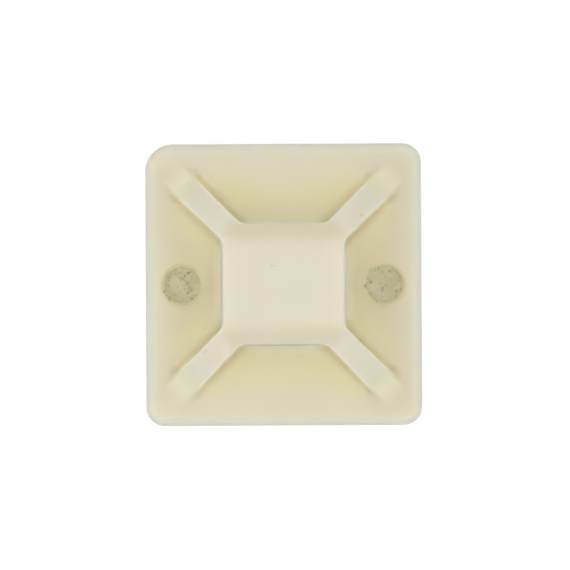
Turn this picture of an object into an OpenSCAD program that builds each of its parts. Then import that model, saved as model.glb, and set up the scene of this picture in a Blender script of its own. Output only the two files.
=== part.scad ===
// Four-way adhesive cable tie mount.
// A rounded square base carries a square bridge on four diagonal ribs. A cable tie passes under
// the bridge along either axis. The back holds double-sided foam tape with its release liner,
// and two screw holes let the mount be screwed down instead of, or as well as, being stuck.
// Origin: centre of the back, on the liner. +Z points out of the mounting surface, and the
// screw holes lie on the X axis.

/* [Base plate] */
// Width of the base plate, along the line of the screw holes
base_w = 27.6; // [26.5:0.1:36]
// Length of the base plate, across the line of the screw holes
base_l = 28.2; // [25:0.1:36]
// Thickness of the base plate
base_t = 1.2; // [0.9:0.1:2]
// Radius of the base plate's corners, seen from above
corner_r = 1.9; // [1.4:0.1:4]
// Radius of the rounded upper rim
rim_r = 0.6; // [0.1:0.05:0.7]

/* [Bridge] */
// Width of the bridge, along the line of the screw holes
bridge_w = 12.2; // [11:0.1:13.5]
// Length of the bridge, across the line of the screw holes
bridge_l = 12.1; // [11:0.1:14]
// Thickness of the bridge at its middle
bridge_t = 1.3; // [1:0.1:2]
// Height of the four tie windows, from the base plate up to the bridge
window_h = 3.1; // [2.4:0.1:4.5]
// Length of the flat on top of the bridge, between its two rolled edges
bridge_flat_l = 7.6; // [6:0.1:9]
// Radius of the rolled edges
roll_r = 5.8; // [4:0.1:12]
// Radius of the corners where the bridge meets a rib, seen from above
bay_corner_r = 0.9; // [0.3:0.1:1.4]

/* [Ribs] */
// Width of each diagonal rib along its top
rib_w = 2.5; // [1.8:0.1:3]
// Draft angle on the sides of a rib
rib_draft = 2; // [0.5:0.5:3]
// Distance from the centre of the mount to the foot of a rib
rib_reach = 15; // [13.5:0.1:16]
// Radius over which a rib turns down from the bridge
crown_r = 1.5; // [0.5:0.1:2]
// Radius over which a rib runs out into the base plate
foot_r = 4; // [1:0.1:4.5]
// Clear width of the tie tunnel, between the inner ends of the ribs
tunnel_w = 5.5; // [5:0.1:6.5]

/* [Screw holes] */
// Diameter of the screw holes
hole_d = 3.6; // [3:0.1:4]
// Distance between the centres of the screw holes
hole_pitch = 20.2; // [18.6:0.1:20.8]
// Width and depth of the chamfer round the top of each hole
hole_chamfer = 0.35; // [0.1:0.05:0.4]

/* [Foam tape] */
// Thickness of the foam tape
foam_t = 1; // [0.5:0.1:1.6]
// Distance from the base plate's outline in to the tape's
tape_inset = 0.8; // [0.3:0.1:1]
// Thickness of the release liner
liner_t = 0.12; // [0.08:0.01:0.2]

/* [Hidden] */

// Heights of the surfaces, from the liner's underside up
foam_z = liner_t;
back_z = foam_z + foam_t;
deck_z = back_z + base_t;
window_top_z = deck_z + window_h;
bridge_z = window_top_z + bridge_t;

// Steps in each arc of an outline, and in the circles of the plate's corners and the screw holes
arc_steps = 8;
corner_fn = 32;
hole_fn = 64;

// The deck's plane is crossed by this much, so that no two faces only graze each other
sink = 0.03;
// Cutters run this far past what they cut
over = 1;

// Angle that each rolled edge has turned through where the bridge ends
roll_start = bridge_flat_l / 2;
roll_angle = asin((bridge_l / 2 - roll_start) / roll_r);

// A rib leaves the bridge on a line across its own width, which cuts the bridge's corner off
corner_cut = rib_w / sqrt(2);
rib_start = min(bridge_w, bridge_l) / sqrt(2) - rib_w / 2;
rib_h = bridge_z - deck_z;
rib_foot_w = rib_w + 2 * (rib_h + base_t) * tan(rib_draft);
rib_inner = tunnel_w / sqrt(2) + rib_foot_w / 2;

// Slope of a rib between its two arcs, which are tangent to it, to the bridge and to the deck
rib_run = rib_reach - rib_start;
arc_sum = crown_r + foot_r;
rib_slope = asin(arc_sum / norm([rib_run, arc_sum - rib_h])) - atan2(arc_sum - rib_h, rib_run);

// Points along an arc, from angle a to angle b, both included
function arc(centre, r, a, b, steps = arc_steps) =
    [for (i = [0:steps]) centre + r * [cos(a + (b - a) * i / steps), sin(a + (b - a) * i / steps)]];

// Outline of a rectangle with round corners
function round_rectangle(w, l, r) = [
    for (corner = [0:3])
        let (sx = [1, -1, -1, 1][corner], sy = [1, 1, -1, -1][corner])
        each arc([sx * (w / 2 - r), sy * (l / 2 - r)], r, corner * 90, corner * 90 + 90)
];

// One corner of the base plate: a disc with a rounded upper edge
module plate_corner() {
    rotate_extrude($fn = corner_fn)
        polygon(concat(
            [[0, 0], [corner_r, 0]],
            arc([corner_r - rim_r, base_t - rim_r], rim_r, 0, 90, arc_steps / 2),
            [[0, base_t]]
        ));
}

module base_plate() {
    translate([0, 0, back_z])
        hull()
            for (sx = [-1, 1], sy = [-1, 1])
                translate([sx * (base_w / 2 - corner_r), sy * (base_l / 2 - corner_r), 0])
                    plate_corner();
}

// The plate is open under the bridge, where the mould's lower half passes through it
module under_bridge_opening() {
    translate([-bridge_w / 2, -bridge_l / 2, back_z - over])
        cube([bridge_w, bridge_l, base_t + 2 * over]);
}

// A rib seen from its side: distance from the mount's centre, and height above the deck
module rib_profile() {
    polygon(concat(
        [[rib_inner, -base_t], [rib_inner, rib_h]],
        arc([rib_start, rib_h - crown_r], crown_r, 90, 90 - rib_slope),
        arc([rib_reach, foot_r - sink], foot_r, 270 - rib_slope, 270),
        [[rib_reach, -base_t]]
    ));
}

// A rib seen from its end, wider towards its foot
module rib_section() {
    low = rib_foot_w / 2 + over * tan(rib_draft);
    high = rib_w / 2 - over * tan(rib_draft);
    polygon([[-low, -base_t - over], [low, -base_t - over], [high, rib_h + over], [-high, rib_h + over]]);
}

module rib() {
    intersection() {
        translate([0, rib_foot_w / 2 + over, 0])
            rotate([90, 0, 0])
                linear_extrude(rib_foot_w + 2 * over)
                    rib_profile();
        rotate([90, 0, 90])
            linear_extrude(rib_reach + over)
                rib_section();
    }
}

module ribs() {
    for (turn = [45:90:315])
        rotate([0, 0, turn])
            translate([0, 0, deck_z])
                rib();
}

// The web that rounds one corner between the bridge's edge, along +X here, and a rib
module bay_corner_web() {
    reach = bay_corner_r * tan(22.5);
    polygon(concat(
        [[-reach, -sink], [-reach, 0]],
        arc([-reach, bay_corner_r], bay_corner_r, 270, 315),
        [[reach * cos(45) + sink, reach * sin(45) - sink], [sink, -sink]]
    ));
}

// The bridge seen from above
module bridge_plan() {
    x = bridge_w / 2;
    y = bridge_l / 2;
    polygon([
        [x, y - corner_cut], [x - corner_cut, y], [corner_cut - x, y], [-x, y - corner_cut],
        [-x, corner_cut - y], [corner_cut - x, -y], [x - corner_cut, -y], [x, corner_cut - y]
    ]);
    for (mx = [0, 1], my = [0, 1])
        mirror([mx, 0]) mirror([0, my]) {
            translate([x - corner_cut, y]) bay_corner_web();
            translate([x, y - corner_cut]) mirror([1, -1]) bay_corner_web();
        }
}

// The bridge's rolled top seen along the X axis, carried on straight over the ribs
module roof_profile() {
    roll = arc([roll_start, bridge_z - roll_r], roll_r, 90, 90 - roll_angle);
    eave_y = base_l / 2;
    eave = [eave_y, roll[arc_steps].y - (eave_y - roll[arc_steps].x) * tan(roll_angle)];
    side = concat(roll, [eave, [eave_y, back_z - over]]);
    polygon(concat(side, [for (i = [len(side) - 1:-1:0]) [-side[i].x, side[i].y]]));
}

module roof() {
    translate([-base_w / 2, 0, 0])
        rotate([90, 0, 90])
            linear_extrude(base_w)
                roof_profile();
}

module bridge() {
    translate([0, 0, window_top_z])
        linear_extrude(bridge_t)
            bridge_plan();
}

module screw_hole() {
    translate([0, 0, back_z - over])
        cylinder(d = hole_d, h = base_t + 2 * over, $fn = hole_fn);
    translate([0, 0, deck_z - hole_chamfer])
        cylinder(
            d1 = hole_d,
            d2 = hole_d + 2 * (hole_chamfer + over),
            h = hole_chamfer + over,
            $fn = hole_fn
        );
}

// Body: one injection moulding in natural nylon
module mount_body() {
    color("#e6dfc6")
        difference() {
            union() {
                difference() {
                    base_plate();
                    under_bridge_opening();
                }
                intersection() {
                    union() {
                        ribs();
                        bridge();
                    }
                    roof();
                }
            }
            for (side = [-1, 1])
                translate([side * hole_pitch / 2, 0, 0])
                    screw_hole();
        }
}

// Outline shared by the foam tape and its liner, which are cut together
module tape_outline() {
    polygon(round_rectangle(
        base_w - 2 * tape_inset,
        base_l - 2 * tape_inset,
        corner_r - tape_inset
    ));
}

// Double-sided foam tape, stuck to the back of the body. It has no holes: a screw pierces it
module foam_pad() {
    color("#b7b18e")
        translate([0, 0, foam_z])
            linear_extrude(foam_t)
                tape_outline();
}

// Siliconed paper over the tape's lower adhesive, peeled off before the mount is stuck down
module release_liner() {
    color("#e9ddb4")
        linear_extrude(liner_t)
            tape_outline();
}

mount_body();
foam_pad();
release_liner();
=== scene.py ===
import math

import bpy
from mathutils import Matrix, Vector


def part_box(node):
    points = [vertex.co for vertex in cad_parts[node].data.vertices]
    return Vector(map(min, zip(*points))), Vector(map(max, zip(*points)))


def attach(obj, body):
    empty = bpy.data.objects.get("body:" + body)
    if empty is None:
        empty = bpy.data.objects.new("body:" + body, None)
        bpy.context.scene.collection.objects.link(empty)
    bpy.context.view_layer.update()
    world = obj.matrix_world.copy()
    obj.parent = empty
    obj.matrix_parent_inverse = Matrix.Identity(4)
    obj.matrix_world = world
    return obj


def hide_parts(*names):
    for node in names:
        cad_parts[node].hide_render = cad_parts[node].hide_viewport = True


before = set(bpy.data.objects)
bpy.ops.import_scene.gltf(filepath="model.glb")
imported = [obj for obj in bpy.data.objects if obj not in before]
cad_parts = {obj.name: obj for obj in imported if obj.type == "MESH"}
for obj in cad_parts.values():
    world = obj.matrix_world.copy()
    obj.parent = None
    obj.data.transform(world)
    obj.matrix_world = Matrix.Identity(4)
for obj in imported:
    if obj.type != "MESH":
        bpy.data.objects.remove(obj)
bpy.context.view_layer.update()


# ---- The body ----
# One injection moulding in natural nylon: a base plate, four ribs that climb to a square bridge,
# tie windows under the bridge's sides and two screw holes. Every edge of the moulding is a little
# rounded and one corner is worn rounder, so it is drawn as one rounded solid at the frame's sizes.

MM = 0.001
DIAGONAL = math.sqrt(0.5)

body_low, body_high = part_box("mount_body")
plate_thickness = 1.2 * MM
deck_z = body_low.z + plate_thickness
bridge_height = body_high.z - deck_z

bridge_width = 12.2 * MM
bridge_length = 12.1 * MM
bridge_flat = 7.6 * MM
roll_radius = 5.8 * MM
roll_angle = math.asin((bridge_length - bridge_flat) / 2 / roll_radius)

rib_width = 2.5 * MM
rib_draft = math.tan(math.radians(2))
rib_start = min(bridge_width, bridge_length) * DIAGONAL - rib_width / 2
rib_reach = 15 * MM
crown_radius = 1.5 * MM
foot_radius = 4 * MM
tunnel_width = 5.5 * MM
rib_foot_width = rib_width + 2 * (bridge_height + plate_thickness) * rib_draft

hole_radius = 1.8 * MM
hole_spacing = 20.2 * MM

body_voxel, body_adaptivity = 0.1 * MM, 0.02


def slope_between_arcs(run, height, radii):
    """Slope of the straight stretch that joins two arcs, one at the top and one at the foot."""
    spare = radii - height
    return math.asin(radii / math.hypot(run, spare)) - math.atan2(spare, run)


def blend_for(radius, angle):
    """How far two flat surfaces at this angle are blended, for a round of this radius."""
    return 6 * radius * (1 - math.cos(angle / 2))


rib_slope = slope_between_arcs(rib_reach - rib_start, bridge_height, crown_radius + foot_radius)

body_sizes = {
    "Plate width": body_high.x - body_low.x,
    "Plate length": body_high.y - body_low.y,
    "Plate thickness": plate_thickness,
    "Corner radius": 1.9 * MM,
    "Worn corner radius": 2.7 * MM,
    "Rim radius": 0.6 * MM,
    "Back height": body_low.z,
    "Bridge width": bridge_width,
    "Bridge length": bridge_length,
    "Bridge height": bridge_height,
    "Window height": 3.1 * MM,
    "Bay corner blend": 0.44 * MM,
    "Roll fold": bridge_flat / 2 + roll_radius * math.tan(roll_angle / 2),
    "Roll angle": roll_angle,
    "Roll blend": blend_for(roll_radius, roll_angle),
    "Rib width": rib_width,
    "Rib draft": rib_draft,
    "Rib inner end": tunnel_width * DIAGONAL + rib_foot_width / 2,
    "Rib fold": rib_start + crown_radius * math.tan(rib_slope / 2),
    "Rib end": rib_reach,
    "Rib slope": rib_slope,
    "Crown blend": blend_for(crown_radius, rib_slope),
    "Foot blend": blend_for(foot_radius, rib_slope),
    "Foot depth": 0.35 * MM,
    "Hole radius": hole_radius,
    "Hole spacing": hole_spacing,
    "Hole chamfer": 0.35 * MM,
    "Edge blend": 0.3 * MM,
    "Shut-off blend": 0.06 * MM,
    "Shut-off lap": 0.2 * MM,
    "Root blend": 1.0 * MM,
}


class Field:
    """A number that differs from place to place, as an output of a node tree's Math nodes."""

    def __init__(self, tree, socket):
        self.tree = tree
        self.socket = socket

    def math(self, operation, *others):
        node = self.tree.nodes.new("ShaderNodeMath")
        node.operation = operation
        for place, value in zip(node.inputs, (self, *others)):
            if isinstance(value, Field):
                self.tree.links.new(value.socket, place)
            else:
                place.default_value = value
        return Field(self.tree, node.outputs[0])

    def __add__(self, other):
        return self.math("ADD", other)

    def __sub__(self, other):
        return self.math("SUBTRACT", other)

    def __mul__(self, other):
        return self.math("MULTIPLY", other)

    def __truediv__(self, other):
        return self.math("DIVIDE", other)

    def __neg__(self):
        return self.math("MULTIPLY", -1)

    def __abs__(self):
        return self.math("ABSOLUTE")


def larger(a, b, blend=0.0):
    """The space in both a and b, each of which is under 0 inside, with their edge rounded."""
    return a.math("SMOOTH_MAX", b, blend)


def smaller(a, b, blend=0.0):
    """The space in a or in b, with the corner between them filled to a round."""
    return a.math("SMOOTH_MIN", b, blend)


def far_from(a, b):
    """Distance from a line, given the distances a and b across it."""
    return (a * a + b * b).math("SQRT")


def out_of_rectangle(x, y, half_x, half_y, radius):
    """Distance out of a rectangle with round corners, given its half sizes."""
    return far_from(
        (x - half_x + radius).math("MAXIMUM", 0),
        (y - half_y + radius).math("MAXIMUM", 0),
    ) - radius


def start_solid_tree(name, sizes):
    """A Geometry Nodes tree with an input for each size. Returns it, its fields and X, Y, Z."""
    tree = bpy.data.node_groups.new(name, "GeometryNodeTree")
    tree.interface.new_socket("Geometry", in_out="OUTPUT", socket_type="NodeSocketGeometry")
    for size, value in sizes.items():
        socket = tree.interface.new_socket(size, in_out="INPUT", socket_type="NodeSocketFloat")
        socket.default_value = value
    group_in = tree.nodes.new("NodeGroupInput")
    fields = {size: Field(tree, group_in.outputs[size]) for size in sizes}
    position = tree.nodes.new("GeometryNodeInputPosition")
    split = tree.nodes.new("ShaderNodeSeparateXYZ")
    tree.links.new(position.outputs[0], split.inputs[0])
    return tree, fields, [Field(tree, output) for output in split.outputs]


def end_solid_tree(tree, field, low, high, voxel, adaptivity, material, extra=None):
    """Ends the tree with the skin of the space where the field is under 0, and what is on it."""
    margin = 3 * voxel
    cube = tree.nodes.new("GeometryNodeVolumeCube")
    cube.inputs["Background"].default_value = -margin
    cube.inputs["Min"].default_value = [c - margin for c in low]
    cube.inputs["Max"].default_value = [c + margin for c in high]
    for axis, a, b in zip("XYZ", low, high):
        cube.inputs[f"Resolution {axis}"].default_value = round((b - a + 2 * margin) / voxel)
    skin = tree.nodes.new("GeometryNodeVolumeToMesh")
    skin.inputs["Threshold"].default_value = 0
    skin.inputs["Adaptivity"].default_value = adaptivity
    smooth = tree.nodes.new("GeometryNodeSetShadeSmooth")
    paint = tree.nodes.new("GeometryNodeSetMaterial")
    paint.inputs["Material"].default_value = material
    real = tree.nodes.new("GeometryNodeRealizeInstances")
    group_out = tree.nodes.new("NodeGroupOutput")
    tree.links.new((-field).socket, cube.inputs["Density"])
    tree.links.new(cube.outputs[0], skin.inputs["Volume"])
    tree.links.new(skin.outputs[0], smooth.inputs[0])
    together = tree.nodes.new("GeometryNodeJoinGeometry")
    tree.links.new(smooth.outputs[0], together.inputs[0])
    if extra:
        tree.links.new(extra, together.inputs[0])
    tree.links.new(together.outputs[0], real.inputs[0])
    tree.links.new(real.outputs[0], paint.inputs["Geometry"])
    tree.links.new(paint.outputs[0], group_out.inputs[0])


def make_piece(name, tree, sizes, material):
    """Runs a tree at these sizes, and keeps its result as a plain mesh."""
    piece = bpy.data.objects.new(name, bpy.data.meshes.new(name))
    bpy.context.scene.collection.objects.link(piece)
    modifier = piece.modifiers.new("shape", "NODES")
    modifier.node_group = tree
    for item in tree.interface.items_tree:
        if item.in_out == "INPUT":
            modifier[item.identifier] = sizes[item.name]
    evaluated = piece.evaluated_get(bpy.context.evaluated_depsgraph_get())
    mesh = bpy.data.meshes.new_from_object(evaluated)
    piece.modifiers.remove(modifier)
    piece.data = mesh
    mesh.name = name
    return piece


def add_node(tree, kind, **settings):
    """A node with these of its inputs or settings set."""
    node = tree.nodes.new(kind)
    for name, value in settings.items():
        label = name.replace("_", " ")
        if label in node.inputs:
            node.inputs[label].default_value = value
        else:
            setattr(node, name, value)
    return node


def new_material(name):
    """An empty node material. Returns it, its tree, its Principled shader and object X, Y, Z."""
    material = bpy.data.materials.new(name)
    material.use_nodes = True
    tree = material.node_tree
    place = tree.nodes.new("ShaderNodeTexCoord")
    split = tree.nodes.new("ShaderNodeSeparateXYZ")
    tree.links.new(place.outputs["Object"], split.inputs[0])
    coords = [Field(tree, output) for output in split.outputs]
    return material, tree, tree.nodes["Principled BSDF"], place.outputs["Object"], coords


def step_up(field, low, high):
    """0 under low, 1 over high, and a smooth step between."""
    node = add_node(field.tree, "ShaderNodeMapRange", interpolation_type="SMOOTHSTEP")
    field.tree.links.new(field.socket, node.inputs["Value"])
    node.inputs["From Min"].default_value = low
    node.inputs["From Max"].default_value = high
    return Field(field.tree, node.outputs[0])


def noise(tree, place, scale, detail=3.0):
    """Cloudy noise from 0 to 1, with this many clouds to the metre."""
    node = add_node(tree, "ShaderNodeTexNoise", Scale=scale, Detail=detail)
    tree.links.new(place, node.inputs["Vector"])
    return Field(tree, node.outputs["Fac"])


def mix_colours(tree, amount, a, b):
    """Colour a where the amount is 0 and b where it is 1. Either is a colour or a socket."""
    node = tree.nodes.new("ShaderNodeMix")
    node.data_type = "RGBA"
    tree.links.new(amount.socket, node.inputs["Factor"])
    for place, colour in ((node.inputs[6], a), (node.inputs[7], b)):
        if isinstance(colour, bpy.types.NodeSocket):
            tree.links.new(colour, place)
        else:
            place.default_value = (*colour, 1)
    return node.outputs[2]


def bump(tree, height, depth, shader):
    """Raises the shader's surface by the height field, 0 to 1, times the depth in metres."""
    node = add_node(tree, "ShaderNodeBump", Distance=depth)
    tree.links.new(height.socket, node.inputs["Height"])
    tree.links.new(node.outputs[0], shader.inputs["Normal"])


nylon_bridge = (0.72, 0.68, 0.54)
# The bridge has the nylon's plain colour. The ribs are painted lighter, and their feet lighter
# still: painted light against the shade on their slopes and feet.
nylon_rib_painted_light = (0.8, 0.765, 0.645)
nylon_rib_foot_painted_light = (0.86, 0.795, 0.585)
# Plate colours near the bridge: yellower than the plain plate, a painted bounce light, and darker
# beside the holes, a painted shade of the bridge.
nylon_by_window_painted_bounce = (0.755, 0.665, 0.4)
nylon_by_hole_painted_shade = (0.67, 0.575, 0.35)
nylon_near_rim = (0.725, 0.665, 0.495)
# Painted shade: the darker, yellower plate beside the ribs.
nylon_beside_rib_painted_shade = (0.745, 0.66, 0.38)
# Painted light: a paler plate along the bridge and ribs, against the shade they cast there.
nylon_inner_corner_painted_light = (0.865, 0.75, 0.455)
# Painted light: a pale strip right beside the bridge's and ribs' edges.
nylon_upper_edge_painted_light = (0.98, 0.9, 0.66)
nylon_bare_edge = (0.715, 0.71, 0.605)
# Painted light: the holes' chamfers and walls are paler, against the shade in the holes.
nylon_hole_edge_painted_light = (0.77, 0.69, 0.43)
nylon_hole_wall_painted_light = (0.95, 0.88, 0.62)
nylon_scuffed = (0.595, 0.55, 0.405)
# A warmer tone for the random clouds, also used for the painted shade on the +X side.
nylon_mottle_and_shade = (0.61, 0.52, 0.33)

scuff_x, scuff_y = -1.1 * MM, 1.8 * MM
scuff_length, scuff_width = 0.8 * MM, 0.16 * MM

# Each span runs from where a tint is first seen to where it is full
# The next three spans place the painted shade beside the holes and the fade of the painted bounce
# light towards the rim.
window_to_hole_shade = -2 * MM, 2 * MM
rim_tint_setback = 0.8 * MM
plate_to_rim = 2.5 * MM, 6.5 * MM
# Where the painted shade beside the ribs reaches:
plate_to_rib = 4.5 * MM, 0.3 * MM
plate_end_of_rib_tint = 15 * MM, 10.5 * MM
rib_side_of_rib_tint = -0.35 * MM, 0.25 * MM
# Where the painted shade on the +X side sets in:
middle_to_far_side = 4 * MM, 13 * MM
# Where the painted light along the bridge and ribs reaches:
plate_to_corner = 1.3 * MM, 0
corner_tint_end = 12.5 * MM
# Where the painted light beside the rib and bridge edges reaches:
plate_to_rib_edge = 0.25 * MM, -0.05 * MM
rib_edge_end = 14.8 * MM, 12 * MM
plate_to_bridge_edge = 0.4 * MM, 0.1 * MM
# Where the painted light on the ribs' feet sets in:
rib_to_foot = 12.2 * MM, 13.8 * MM
plate_to_rib_top = 0.25 * MM, -0.35 * MM
rib_top_end = 16.5 * MM, 14 * MM
plate_to_bridge_top = 0.05 * MM, -0.12 * MM
plate_to_bare_edge = -1.3 * MM, -0.3 * MM
# Where the painted light on the holes' chamfers and walls reaches:
plate_to_hole_edge = 0.5 * MM, 0.3 * MM
hole_edge_to_wall = 0.12 * MM, 0.02 * MM
cloud_share, far_side_shade_share = 0.05, 0.2


def make_nylon():
    """Milky nylon, palest at its edge, warmed by the tape where thin, and given painted light and
    shade.
    """
    material, tree, shader, place, (x, y, _) = new_material("natural_nylon")
    across, along = abs(x), abs(y)
    off_width, off_length = across - bridge_width / 2, along - bridge_length / 2
    off_bridge = off_width.math("MAXIMUM", off_length)
    off_rib = abs(across - along) * DIAGONAL - rib_width / 2
    out = (across + along) * DIAGONAL

    # Painted light and shade on the plate: yellower towards the bridge as painted bounce light,
    # and darker in the bays beside the holes as painted shade of the bridge from the side lamps.
    # It fades to the plain colour towards the rim.
    hole_side_shade = step_up(across - along, *window_to_hole_shade)
    colour = mix_colours(tree, hole_side_shade, nylon_by_window_painted_bounce, nylon_by_hole_painted_shade)
    outward = (off_width - rim_tint_setback).math("MAXIMUM", off_length)
    colour = mix_colours(tree, step_up(outward, *plate_to_rim), colour, nylon_near_rim)
    # Painted shade: a broad darker, yellower field along each rib's sides, ending towards the
    # rib's far end.
    rib_side_shade = step_up(off_rib, *plate_to_rib) * step_up(out, *plate_end_of_rib_tint)
    rib_side_shade = rib_side_shade * step_up(off_rib, *rib_side_of_rib_tint)
    colour = mix_colours(tree, rib_side_shade, colour, nylon_beside_rib_painted_shade)
    # Painted shade: the plate is warmer and darker towards +X, where the weaker lamp is.
    far_side_shade = step_up(x, *middle_to_far_side) * far_side_shade_share
    colour = mix_colours(tree, far_side_shade, colour, nylon_mottle_and_shade)
    # Painted light: the plate is paler within a band along the bridge and the ribs, against the
    # shade they cast there.
    off_upper = off_bridge.math("MINIMUM", off_rib.math("MAXIMUM", out - corner_tint_end))
    colour = mix_colours(tree, step_up(off_upper, *plate_to_corner), colour, nylon_inner_corner_painted_light)
    # Painted light: a pale strip right beside the ribs' and bridge's edges, against the shade
    # there.
    edge_light = step_up(off_rib, *plate_to_rib_edge) * step_up(out, *rib_edge_end)
    edge_light = edge_light.math("MAXIMUM", step_up(off_bridge, *plate_to_bridge_edge))
    colour = mix_colours(tree, edge_light, colour, nylon_upper_edge_painted_light)

    # Painted light: the ribs and their feet are lighter than the bridge, against the shade on
    # their slopes and feet.
    bridge_to_rib = rib_start, rib_start + crown_radius
    upper = mix_colours(tree, step_up(out, *bridge_to_rib), nylon_bridge, nylon_rib_painted_light)
    upper = mix_colours(tree, step_up(out, *rib_to_foot), upper, nylon_rib_foot_painted_light)
    on_rib = step_up(off_rib, *plate_to_rib_top) * step_up(out, *rib_top_end)
    on_bridge = step_up(off_bridge, *plate_to_bridge_top)
    colour = mix_colours(tree, on_rib.math("MAXIMUM", on_bridge), colour, upper)

    rim = out_of_rectangle(across, along, body_high.x, body_high.y, body_sizes["Corner radius"])
    colour = mix_colours(tree, step_up(rim, *plate_to_bare_edge), colour, nylon_bare_edge)
    # Painted light: each hole's chamfer, and more so its wall, is paler, against the shade in the
    # hole.
    off_hole = far_from(across - hole_spacing / 2, y) - hole_radius
    colour = mix_colours(tree, step_up(off_hole, *plate_to_hole_edge), colour, nylon_hole_edge_painted_light)
    colour = mix_colours(tree, step_up(off_hole, *hole_edge_to_wall), colour, nylon_hole_wall_painted_light)

    clouds = step_up(noise(tree, place, scale=260, detail=2.0), 0.3, 0.7)
    colour = mix_colours(tree, clouds * cloud_share, colour, nylon_mottle_and_shade)
    scuff = far_from((x - scuff_x) / scuff_length, (y - scuff_y) / scuff_width)
    colour = mix_colours(tree, step_up(scuff, 0.6, 0.2), colour, nylon_scuffed)
    tree.links.new(colour, shader.inputs["Base Color"])
    shader.inputs["Roughness"].default_value = 0.42
    shader.inputs["IOR"].default_value = 1.53
    shader.inputs["Subsurface Weight"].default_value = 1.0
    shader.inputs["Subsurface Radius"].default_value = (1.0, 0.85, 0.55)
    shader.inputs["Subsurface Scale"].default_value = 2.6 * MM
    grain = noise(tree, place, scale=2500) * 0.6 + noise(tree, place, scale=700) * 0.4
    bump(tree, grain, 0.012 * MM, shader)
    return material


def random_field(tree, low, high, seed):
    """A number for each point, from low to high, the same on every run."""
    node = add_node(tree, "FunctionNodeRandomValue", data_type="FLOAT")
    node.inputs[2].default_value = low
    node.inputs[3].default_value = high
    node.inputs["Seed"].default_value = seed
    return Field(tree, node.outputs[1])


nib_count = 14
nib_turn = 0.65 * math.pi, 1.4 * math.pi
nib_reach = -0.3, 0.6
nib_radius = 0.04 * MM, 0.11 * MM


def add_nibs(tree, size):
    """Specks of flash left at one side of both holes, where the mould's pins shut off."""
    index = Field(tree, tree.nodes.new("GeometryNodeInputIndex").outputs[0])
    turn = random_field(tree, *nib_turn, 11)
    reach = size["Hole radius"] + size["Hole chamfer"] * random_field(tree, *nib_reach, 12)
    height = size["Back height"] + size["Plate thickness"] - size["Hole chamfer"] * 0.5
    side = index.math("MODULO", 2) * 2 - 1
    place = tree.nodes.new("ShaderNodeCombineXYZ")
    x = turn.math("COSINE") * reach + side * size["Hole spacing"] * 0.5
    for socket, value in zip(place.inputs, (x, turn.math("SINE") * reach, height)):
        tree.links.new(value.socket, socket)
    points = tree.nodes.new("GeometryNodePoints")
    points.inputs["Count"].default_value = nib_count
    tree.links.new(place.outputs[0], points.inputs["Position"])
    speck = add_node(tree, "GeometryNodeMeshIcoSphere", Radius=1.0, Subdivisions=2)
    stretch = tree.nodes.new("ShaderNodeCombineXYZ")
    for socket, seed in zip(stretch.inputs, (13, 14, 15)):
        tree.links.new(random_field(tree, *nib_radius, seed).socket, socket)
    specks = tree.nodes.new("GeometryNodeInstanceOnPoints")
    tree.links.new(points.outputs[0], specks.inputs["Points"])
    tree.links.new(speck.outputs[0], specks.inputs["Instance"])
    tree.links.new(stretch.outputs[0], specks.inputs["Scale"])
    return specks.outputs[0]


def make_body():
    """The plate, ribs and bridge as rounded solids, joined, with the windows and holes cut."""
    tree, size, (x, y, z) = start_solid_tree("body shape", body_sizes)
    across, along = abs(x), abs(y)
    height = z - (size["Back height"] + size["Plate thickness"])
    out = (across + along) * DIAGONAL
    aside = abs(across - along) * DIAGONAL
    edge, root = size["Edge blend"], size["Root blend"]

    worn = x.math("LESS_THAN", 0) * y.math("GREATER_THAN", 0)
    corner = size["Corner radius"] + worn * (size["Worn corner radius"] - size["Corner radius"])
    plate_plan = out_of_rectangle(
        across, along, size["Plate width"] / 2, size["Plate length"] / 2, corner
    )
    rim = size["Rim radius"]
    plate = far_from(
        (plate_plan + rim).math("MAXIMUM", 0),
        (height + rim).math("MAXIMUM", 0),
    ) - rim
    bridge_plan = (across - size["Bridge width"] / 2).math(
        "MAXIMUM", along - size["Bridge length"] / 2
    )
    plate = larger(plate, -bridge_plan - size["Shut-off lap"], size["Shut-off blend"])

    rib_side = aside - size["Rib width"] / 2 - (size["Bridge height"] - height) * size["Rib draft"]
    rib_plan = larger(rib_side, size["Rib inner end"] - out, edge)
    rib_plan = larger(rib_plan, out - size["Rib end"], edge)
    sine, cosine = size["Rib slope"].math("SINE"), size["Rib slope"].math("COSINE")
    top = height - size["Bridge height"]
    slope = top * cosine + (out - size["Rib fold"]) * sine
    sine, cosine = size["Roll angle"].math("SINE"), size["Roll angle"].math("COSINE")
    roll = top * cosine + (along - size["Roll fold"]) * sine
    roof = larger(larger(top, roll, size["Roll blend"]), slope, size["Crown blend"])
    roof = smaller(roof, height + size["Foot depth"], size["Foot blend"])
    upper_plan = smaller(bridge_plan, rib_plan, size["Bay corner blend"])
    upper = larger(roof, upper_plan, edge)
    under_bridge = smaller(rib_plan, size["Window height"] - height, edge)
    upper = larger(upper, under_bridge, edge)

    body = smaller(plate, upper, root)
    hole = far_from(across - size["Hole spacing"] / 2, y) - size["Hole radius"]
    chamfer = (hole - height - size["Hole chamfer"]) * DIAGONAL
    hole = hole.math("MINIMUM", chamfer).math("MAXIMUM", height - size["Hole radius"])
    body = larger(body, -hole, edge * 0.5)
    body = larger(body, size["Back height"] - z, size["Shut-off blend"])

    material = make_nylon()
    nibs = add_nibs(tree, size)
    end_solid_tree(tree, body, body_low, body_high, body_voxel, body_adaptivity, material, nibs)
    return make_piece("body_moulding", tree, body_sizes, material)


body = make_body()
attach(body, "root")
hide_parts("mount_body")


# ---- The foam tape ----
# Double-sided tape on a core of closed-cell foam, stuck to the body's back. It closes the screw
# holes and is the floor of the tie tunnel. Its sides are knife-cut through the cells.

tape_low, tape_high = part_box("foam_pad")

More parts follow.
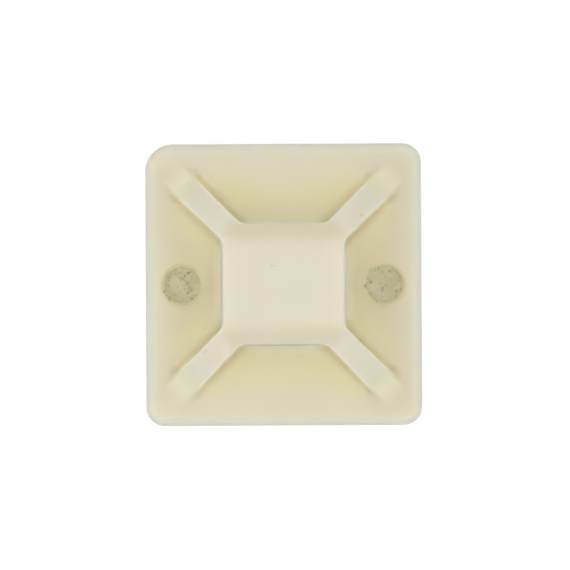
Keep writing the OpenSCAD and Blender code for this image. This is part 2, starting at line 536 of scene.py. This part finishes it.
foam_sizes = {
    "Width": tape_high.x - tape_low.x,
    "Length": tape_high.y - tape_low.y,
    "Corner radius": 1.1 * MM,
    "Lower side": tape_low.z,
    "Upper side": tape_high.z,
    "Hole radius": hole_radius,
    "Hole spacing": hole_spacing,
    "Opening width": bridge_width,
    "Opening length": bridge_length,
    "Bubble spacing": 0.38 * MM,
    "Bubble radius": 0.135 * MM,
    "Cell spacing": 0.3 * MM,
    "Cell radius": 0.17 * MM,
    "Cut depth": 0.4 * MM,
    "Edge blend": 0.08 * MM,
}
foam_voxel, foam_adaptivity = 0.07 * MM, 0.05
smallest_bubble = 0.25


def clamp(field, limit):
    """The field, kept between -limit and limit."""
    return field.math("MINIMUM", limit).math("MAXIMUM", -limit)


def bubble_depth(x, y, z, spacing, radius):
    """Depth of the pits where bubbles of up to this radius break a skin, at a place on it."""
    tree = x.tree
    join = tree.nodes.new("ShaderNodeCombineXYZ")
    for place, value in zip(join.inputs, (x, y, z)):
        tree.links.new((value / spacing).socket, place)
    bubbles = add_node(tree, "ShaderNodeTexVoronoi", Scale=1.0, Randomness=1.0)
    tree.links.new(join.outputs[0], bubbles.inputs["Vector"])
    off_centre = Field(tree, bubbles.outputs["Distance"]) * spacing
    chance = tree.nodes.new("ShaderNodeSeparateXYZ")
    tree.links.new(bubbles.outputs["Color"], chance.inputs[0])
    radius = radius * (Field(tree, chance.outputs[0]) * (1 - smallest_bubble) + smallest_bubble)
    return (radius * radius - off_centre * off_centre).math("MAXIMUM", 0).math("SQRT")


foam_dull = (0.52, 0.485, 0.295)
foam_pale = (0.605, 0.565, 0.37)
# Dark colour for spots and streaks, and painted shade deep in the bubbles and cells.
foam_dark_and_pit_shade = (0.27, 0.24, 0.12)
blot_share, crease_share = 0.3, 0.5


def make_foam():
    """Dull olive-grey foam under a film of adhesive, with dark spots and streaks, and painted
    shade in its bubbles.
    """
    material, tree, shader, place, (x, y, z) = new_material("foam_tape")
    # Painted shade: the foam is dark below its faces, in the pits of its bubbles and cells.
    below_face = (z - tape_low.z).math("MINIMUM", -(z - tape_high.z))
    below_side = -out_of_rectangle(
        abs(x), abs(y), tape_high.x, tape_high.y, foam_sizes["Corner radius"]
    )
    pit_shade = step_up(below_face.math("MINIMUM", below_side), 0.02 * MM, 0.14 * MM)
    clouds = step_up(noise(tree, place, scale=700, detail=4.0), 0.36, 0.64)
    colour = mix_colours(tree, clouds, foam_dull, foam_pale)
    blots = step_up(noise(tree, place, scale=2000, detail=1.0), 0.6, 0.75)
    creases = step_up(abs(noise(tree, place, scale=420, detail=1.0) - 0.5), 0.03, 0)
    creases = creases * step_up(noise(tree, place, scale=800, detail=1.0), 0.55, 0.65)
    marks = (blots * blot_share).math("MAXIMUM", creases * crease_share)
    colour = mix_colours(tree, marks, colour, foam_dark_and_pit_shade)
    colour = mix_colours(tree, pit_shade, colour, foam_dark_and_pit_shade)
    tree.links.new(colour, shader.inputs["Base Color"])
    shader.inputs["Roughness"].default_value = 0.55
    bump(tree, noise(tree, place, scale=3000), 0.02 * MM, shader)
    return material


def make_foam_tape():
    """Bubbles show on the tape's face where the body leaves it bare, and along its cut sides."""
    tree, size, (x, y, z) = start_solid_tree("foam shape", foam_sizes)
    across, along = abs(x), abs(y)
    half_width, half_length = size["Width"] / 2, size["Length"] / 2
    plan = out_of_rectangle(across, along, half_width, half_length, size["Corner radius"])
    cells = bubble_depth(
        clamp(x, half_width - size["Cut depth"]), clamp(y, half_length - size["Cut depth"]), z,
        size["Cell spacing"], size["Cell radius"],
    )
    off_hole = far_from(across - size["Hole spacing"] / 2, y) - size["Hole radius"]
    off_opening = (across - size["Opening width"] / 2).math(
        "MAXIMUM", along - size["Opening length"] / 2
    )
    bare = off_hole.math("MINIMUM", off_opening).math("LESS_THAN", 0)
    bubbles = bubble_depth(x, y, size["Upper side"], size["Bubble spacing"], size["Bubble radius"])
    face = z - size["Upper side"] + bubbles * bare
    foam = larger(plan + cells, face, size["Edge blend"])
    foam = larger(foam, size["Lower side"] - z, size["Edge blend"])
    material = make_foam()
    end_solid_tree(tree, foam, tape_low, tape_high, foam_voxel, foam_adaptivity, material)
    return make_piece("foam_tape", tree, foam_sizes, material)


foam = make_foam_tape()
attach(foam, "root")
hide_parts("foam_pad")


# ---- The release liner ----
# Siliconed paper that covers the tape's lower adhesive until the mount is used. It is cut in one
# stroke with the tape, so it keeps the flat shape it has in the frame and only gets its paper.

liner_dull = (0.78, 0.70, 0.45)
liner_pale = (0.86, 0.80, 0.58)


def make_liner_paper():
    """Glossy yellowed paper with its fibres showing through the silicone."""
    material, tree, shader, place, _ = new_material("liner_paper")
    fibres = noise(tree, place, scale=1500, detail=6.0)
    colour = mix_colours(tree, fibres, liner_dull, liner_pale)
    tree.links.new(colour, shader.inputs["Base Color"])
    shader.inputs["Roughness"].default_value = 0.38
    bump(tree, fibres, 0.01 * MM, shader)
    return material


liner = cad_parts["release_liner"].data
liner.materials.clear()
liner.materials.append(make_liner_paper())


# ---- The table, the lamps and the camera ----
# A plain white table under two big soft lamps, one at each side, and a small one overhead that
# lights the plate right up to the bridge. The camera looks down from beside the small lamp.

table_white = 0.9
table_glow, table_glow_share = 1.1, 0.8
sky_strength = 0.52


def make_table():
    """A flat white sheet, seen as plain white, that still shows some of the part's shadow."""
    half = 0.6
    mesh = bpy.data.meshes.new("table")
    corners = [(-half, -half, 0), (half, -half, 0), (half, half, 0), (-half, half, 0)]
    mesh.from_pydata(corners, [], [(0, 1, 2, 3)])
    table = bpy.data.objects.new("table", mesh)
    bpy.context.scene.collection.objects.link(table)
    material = bpy.data.materials.new("white_table")
    material.use_nodes = True
    tree = material.node_tree
    shader = tree.nodes["Principled BSDF"]
    shader.inputs["Base Color"].default_value = (table_white, table_white, table_white, 1)
    shader.inputs["Roughness"].default_value = 0.9
    shader.inputs["Specular IOR Level"].default_value = 0.0
    glow = add_node(tree, "ShaderNodeEmission", Strength=table_glow)
    ray = tree.nodes.new("ShaderNodeLightPath")
    seen = Field(tree, ray.outputs["Is Camera Ray"])
    seen = seen.math("MAXIMUM", Field(tree, ray.outputs["Is Glossy Ray"]))
    seen = seen.math("MAXIMUM", Field(tree, ray.outputs["Is Transmission Ray"]))
    surface = tree.nodes.new("ShaderNodeMixShader")
    tree.links.new((seen * table_glow_share).socket, surface.inputs["Fac"])
    tree.links.new(shader.outputs[0], surface.inputs[1])
    tree.links.new(glow.outputs[0], surface.inputs[2])
    tree.links.new(surface.outputs[0], tree.nodes["Material Output"].inputs["Surface"])
    mesh.materials.append(material)


def add_lamp(name, lean, turn, size, power):
    """A square lamp that faces the part, at these degrees from overhead and round from +X."""
    distance = 0.5
    lamp = bpy.data.lights.new(name, "AREA")
    lamp.shape = "SQUARE"
    lamp.size = size
    lamp.energy = power
    holder = bpy.data.objects.new(name, lamp)
    bpy.context.scene.collection.objects.link(holder)
    lean, turn = math.radians(lean), math.radians(turn)
    holder.location = (
        distance * math.sin(lean) * math.cos(turn),
        distance * math.sin(lean) * math.sin(turn),
        distance * math.cos(lean),
    )
    holder.rotation_euler = (0, lean, turn)


def make_world():
    """Even light from all round, in front of a plain white background."""
    world = bpy.data.worlds.new("studio")
    bpy.context.scene.world = world
    world.use_nodes = True
    tree = world.node_tree
    sky = tree.nodes["Background"]
    sky.inputs["Color"].default_value = (1, 1, 1, 1)
    sky.inputs["Strength"].default_value = sky_strength
    white = add_node(tree, "ShaderNodeBackground", Strength=1.0)
    ray = tree.nodes.new("ShaderNodeLightPath")
    surface = tree.nodes.new("ShaderNodeMixShader")
    tree.links.new(ray.outputs["Is Camera Ray"], surface.inputs["Fac"])
    tree.links.new(sky.outputs[0], surface.inputs[1])
    tree.links.new(white.outputs[0], surface.inputs[2])
    tree.links.new(surface.outputs[0], tree.nodes["World Output"].inputs["Surface"])


def make_camera():
    """The camera looks straight down but for a degree, from far enough to flatten the view."""
    view_width = 57 * MM
    distance = 0.6
    lean, roll = math.radians(1), math.radians(-0.3)
    across, along = 0.075 * MM, -0.05 * MM
    camera = bpy.data.cameras.new("camera")
    camera.sensor_width = 36
    camera.lens = camera.sensor_width * distance / view_width
    camera.clip_start = 0.01
    camera.clip_end = 10
    holder = bpy.data.objects.new("camera", camera)
    bpy.context.scene.collection.objects.link(holder)
    along -= distance * math.sin(lean)
    holder.location = (across, along, deck_z + distance * math.cos(lean))
    holder.rotation_euler = (lean, 0, roll)
    bpy.context.scene.camera = holder


make_table()
add_lamp("lamp_left", lean=45, turn=198, size=0.35, power=0.29)
add_lamp("lamp_right", lean=45, turn=-20, size=0.35, power=0.18)
add_lamp("lamp_above", lean=0, turn=0, size=0.012, power=0.73)
make_world()
make_camera()
bpy.context.scene.view_settings.view_transform = "Standard"
